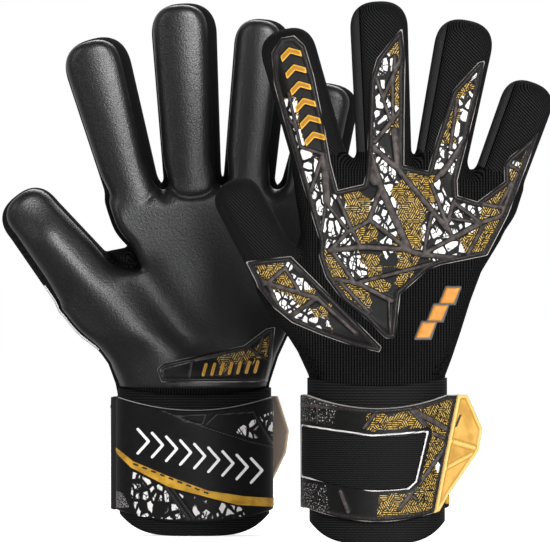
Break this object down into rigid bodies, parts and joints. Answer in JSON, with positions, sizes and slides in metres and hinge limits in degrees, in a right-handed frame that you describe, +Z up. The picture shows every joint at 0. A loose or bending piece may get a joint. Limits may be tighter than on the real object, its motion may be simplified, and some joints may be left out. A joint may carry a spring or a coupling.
{
  "type": "goalkeeper gloves",
  "caption": "Pair of goalkeeper gloves with latex palms, an embossed printed backhand, bending fingers and a wrap-round wrist strap with a pull tab.",
  "frame": {"origin": "on the floor, under the centre of the pair's bounding box", "axes": "+Z up from the cuffs to the fingertips, -X towards both thumbs, -Y the side from which the left palm and the right backhand are seen"},
  "size_m": [0.2966, 0.244, 0.2913],
  "materials": {
    "black_latex": "matt foam latex",
    "printed_latex": "embossed latex with white cells and gold dashes",
    "black_knit": "ribbed knit",
    "black_mesh": "twill mesh",
    "black_elastic": "ribbed elastic",
    "black_satin": "satin print with white and gold",
    "strap_print": "embossed print",
    "gold_rubber": "satin moulded",
    "gold_print": "satin",
    "gloss_rubber": "glossy embossed",
    "black_loop": "loop pile",
    "black_hook": "hook tape"
  },
  "bodies": {
    "left_cuff": {"left_cuff_sleeve": "black_knit", "left_cuff_hem": "black_knit", "left_wrist_band": "black_elastic", "left_strap_anchor": "black_satin", "left_loop_patch": "black_loop"},
    "left_strap": {"left_strap_flap": "strap_print", "left_strap_elastic_panel": "black_elastic", "left_pull_tab": "gold_rubber", "left_hook_patch": "black_hook"},
    "left_hand": {"left_palm_pad": "black_latex", "left_back_knit": "black_knit", "left_side_gusset": "black_mesh", "left_back_panel": "printed_latex", "left_wrist_patch": "gloss_rubber", "left_badge": "gold_print"},
    "left_index_lower": {"left_index_base": "black_mesh"},
    "left_index_upper": {"left_index_tip_pad": "black_latex", "left_index_tip_back": "black_mesh"},
    "left_middle_lower": {"left_middle_base": "black_mesh"},
    "left_middle_upper": {"left_middle_tip_pad": "black_latex", "left_middle_tip_back": "black_mesh"},
    "left_ring_lower": {"left_ring_base": "black_mesh"},
    "left_ring_upper": {"left_ring_tip_pad": "black_latex", "left_ring_tip_back": "black_mesh"},
    "left_little_lower": {"left_little_base": "black_mesh"},
    "left_little_upper": {"left_little_tip_pad": "black_latex", "left_little_tip_back": "black_mesh"},
    "left_thumb_lower": {"left_thumb_base": "black_mesh"},
    "left_thumb_upper": {"left_thumb_tip_pad": "black_latex", "left_thumb_tip_back": "black_mesh"},
    "right_cuff": {"right_cuff_sleeve": "black_knit", "right_cuff_hem": "black_knit", "right_wrist_band": "black_elastic", "right_strap_anchor": "black_satin", "right_loop_patch": "black_loop"},
    "right_strap": {"right_strap_flap": "strap_print", "right_strap_elastic_panel": "black_elastic", "right_pull_tab": "gold_rubber", "right_hook_patch": "black_hook"},
    "right_hand": {"right_palm_pad": "black_latex", "right_back_knit": "black_knit", "right_side_gusset": "black_mesh", "right_back_panel": "printed_latex", "right_wrist_patch": "gloss_rubber", "right_badge": "gold_print"},
    "right_index_lower": {"right_index_base": "black_mesh"},
    "right_index_upper": {"right_index_tip_pad": "black_latex", "right_index_tip_back": "black_mesh"},
    "right_middle_lower": {"right_middle_base": "black_mesh"},
    "right_middle_upper": {"right_middle_tip_pad": "black_latex", "right_middle_tip_back": "black_mesh"},
    "right_ring_lower": {"right_ring_base": "black_mesh"},
    "right_ring_upper": {"right_ring_tip_pad": "black_latex", "right_ring_tip_back": "black_mesh"},
    "right_little_lower": {"right_little_base": "black_mesh"},
    "right_little_upper": {"right_little_tip_pad": "black_latex", "right_little_tip_back": "black_mesh"},
    "right_thumb_lower": {"right_thumb_base": "black_mesh"},
    "right_thumb_upper": {"right_thumb_tip_pad": "black_latex", "right_thumb_tip_back": "black_mesh"}
  },
  "joints": [
    {"name": "left_wrist", "type": "hinge", "parent": "left_cuff", "child": "left_hand", "pos_m": [-0.04417, 0.092, 0.082], "axis": [1, 0, 0], "range_deg": [-45, 20]},
    {"name": "left_strap_peel", "type": "hinge", "parent": "left_cuff", "child": "left_strap", "pos_m": [-0.08767, 0.092, 0.045], "axis": [0, 0, 1], "range_deg": [0, 120]},
    {"name": "left_index_knuckle", "type": "hinge", "parent": "left_hand", "child": "left_index_lower", "pos_m": [-0.07737, 0.087, 0.187], "axis": [0.9632, 0, 0.2689], "range_deg": [0, 50], "stiffness_Nm_per_rad": 0.05},
    {"name": "left_index_middle", "type": "hinge", "parent": "left_index_lower", "child": "left_index_upper", "pos_m": [-0.08799, 0.087, 0.22506], "axis": [0.9632, 0, 0.2689], "range_deg": [0, 45], "stiffness_Nm_per_rad": 0.03},
    {"name": "left_middle_knuckle", "type": "hinge", "parent": "left_hand", "child": "left_middle_lower", "pos_m": [-0.04507, 0.087, 0.192], "axis": [0.9984, 0, 0.0558], "range_deg": [0, 50], "stiffness_Nm_per_rad": 0.05},
    {"name": "left_middle_middle", "type": "hinge", "parent": "left_middle_lower", "child": "left_middle_upper", "pos_m": [-0.04756, 0.087, 0.23666], "axis": [0.9984, 0, 0.0558], "range_deg": [0, 45], "stiffness_Nm_per_rad": 0.03},
    {"name": "left_ring_knuckle", "type": "hinge", "parent": "left_hand", "child": "left_ring_lower", "pos_m": [-0.01436, 0.087, 0.193], "axis": [0.9954, 0, -0.0958], "range_deg": [0, 50], "stiffness_Nm_per_rad": 0.05},
    {"name": "left_ring_middle", "type": "hinge", "parent": "left_ring_lower", "child": "left_ring_upper", "pos_m": [-0.01048, 0.087, 0.23331], "axis": [0.9954, 0, -0.0958], "range_deg": [0, 45], "stiffness_Nm_per_rad": 0.03},
    {"name": "left_little_knuckle", "type": "hinge", "parent": "left_hand", "child": "left_little_lower", "pos_m": [0.01913, 0.087, 0.188], "axis": [0.9724, 0, -0.2334], "range_deg": [0, 50], "stiffness_Nm_per_rad": 0.05},
    {"name": "left_little_middle", "type": "hinge", "parent": "left_little_lower", "child": "left_little_upper", "pos_m": [0.02549, 0.087, 0.21447], "axis": [0.9724, 0, -0.2334], "range_deg": [0, 45], "stiffness_Nm_per_rad": 0.03},
    {"name": "left_thumb_knuckle", "type": "hinge", "parent": "left_hand", "child": "left_thumb_lower", "pos_m": [-0.10317, 0.087, 0.1374], "axis": [0.7771, 0, 0.6293], "range_deg": [0, 50], "stiffness_Nm_per_rad": 0.05},
    {"name": "left_thumb_middle", "type": "hinge", "parent": "left_thumb_lower", "child": "left_thumb_upper", "pos_m": [-0.12072, 0.087, 0.15908], "axis": [0.7771, 0, 0.6293], "range_deg": [0, 45], "stiffness_Nm_per_rad": 0.03},
    {"name": "right_wrist", "type": "hinge", "parent": "right_cuff", "child": "right_hand", "pos_m": [0.05493, -0.092, 0.09], "axis": [-1, 0, 0], "range_deg": [-45, 20]},
    {"name": "right_strap_peel", "type": "hinge", "parent": "right_cuff", "child": "right_strap", "pos_m": [0.01594, -0.092, 0.0495], "axis": [0, 0, -1], "range_deg": [0, 120]},
    {"name": "right_index_knuckle", "type": "hinge", "parent": "right_hand", "child": "right_index_lower", "pos_m": [0.02493, -0.087, 0.203], "axis": [-0.9613, 0, -0.2756], "range_deg": [0, 50], "stiffness_Nm_per_rad": 0.05},
    {"name": "right_index_middle", "type": "hinge", "parent": "right_index_lower", "child": "right_index_upper", "pos_m": [0.01551, -0.087, 0.23588], "axis": [-0.9613, 0, -0.2756], "range_deg": [0, 45], "stiffness_Nm_per_rad": 0.03},
    {"name": "right_middle_knuckle", "type": "hinge", "parent": "right_hand", "child": "right_middle_lower", "pos_m": [0.05863, -0.087, 0.207], "axis": [-0.9993, 0, -0.0384], "range_deg": [0, 50], "stiffness_Nm_per_rad": 0.05},
    {"name": "right_middle_middle", "type": "hinge", "parent": "right_middle_lower", "child": "right_middle_upper", "pos_m": [0.05718, -0.087, 0.24495], "axis": [-0.9993, 0, -0.0384], "range_deg": [0, 45], "stiffness_Nm_per_rad": 0.03},
    {"name": "right_ring_knuckle", "type": "hinge", "parent": "right_hand", "child": "right_ring_lower", "pos_m": [0.08904, -0.087, 0.205], "axis": [-0.9816, 0, 0.1908], "range_deg": [0, 50], "stiffness_Nm_per_rad": 0.05},
    {"name": "right_ring_middle", "type": "hinge", "parent": "right_ring_lower", "child": "right_ring_upper", "pos_m": [0.09569, -0.087, 0.23923], "axis": [-0.9816, 0, 0.1908], "range_deg": [0, 45], "stiffness_Nm_per_rad": 0.03},
    {"name": "right_little_knuckle", "type": "hinge", "parent": "right_hand", "child": "right_little_lower", "pos_m": [0.11993, -0.087, 0.195], "axis": [-0.9397, 0, 0.342], "range_deg": [0, 50], "stiffness_Nm_per_rad": 0.05},
    {"name": "right_little_middle", "type": "hinge", "parent": "right_little_lower", "child": "right_little_upper", "pos_m": [0.12855, -0.087, 0.21868], "axis": [-0.9397, 0, 0.342], "range_deg": [0, 45], "stiffness_Nm_per_rad": 0.03},
    {"name": "right_thumb_knuckle", "type": "hinge", "parent": "right_hand", "child": "right_thumb_lower", "pos_m": [0.00244, -0.087, 0.1435], "axis": [-0.8829, 0, -0.4695], "range_deg": [0, 50], "stiffness_Nm_per_rad": 0.05},
    {"name": "right_thumb_middle", "type": "hinge", "parent": "right_thumb_lower", "child": "right_thumb_upper", "pos_m": [-0.00978, -0.087, 0.16647], "axis": [-0.8829, 0, -0.4695], "range_deg": [0, 45], "stiffness_Nm_per_rad": 0.03},
    {"name": "right_lift_away", "type": "slide", "parent": "left_cuff", "child": "right_cuff", "axis": [0, 0, 1], "range_m": [0, 0.3]}
  ],
  "couplings": [
    {"joint": "left_index_middle", "follows": "left_index_knuckle", "ratio": 0.9},
    {"joint": "left_middle_middle", "follows": "left_middle_knuckle", "ratio": 0.9},
    {"joint": "left_ring_middle", "follows": "left_ring_knuckle", "ratio": 0.9},
    {"joint": "left_little_middle", "follows": "left_little_knuckle", "ratio": 0.9},
    {"joint": "left_thumb_middle", "follows": "left_thumb_knuckle", "ratio": 0.9},
    {"joint": "right_index_middle", "follows": "right_index_knuckle", "ratio": 0.9},
    {"joint": "right_middle_middle", "follows": "right_middle_knuckle", "ratio": 0.9},
    {"joint": "right_ring_middle", "follows": "right_ring_knuckle", "ratio": 0.9},
    {"joint": "right_little_middle", "follows": "right_little_knuckle", "ratio": 0.9},
    {"joint": "right_thumb_middle", "follows": "right_thumb_knuckle", "ratio": 0.9}
  ]
}
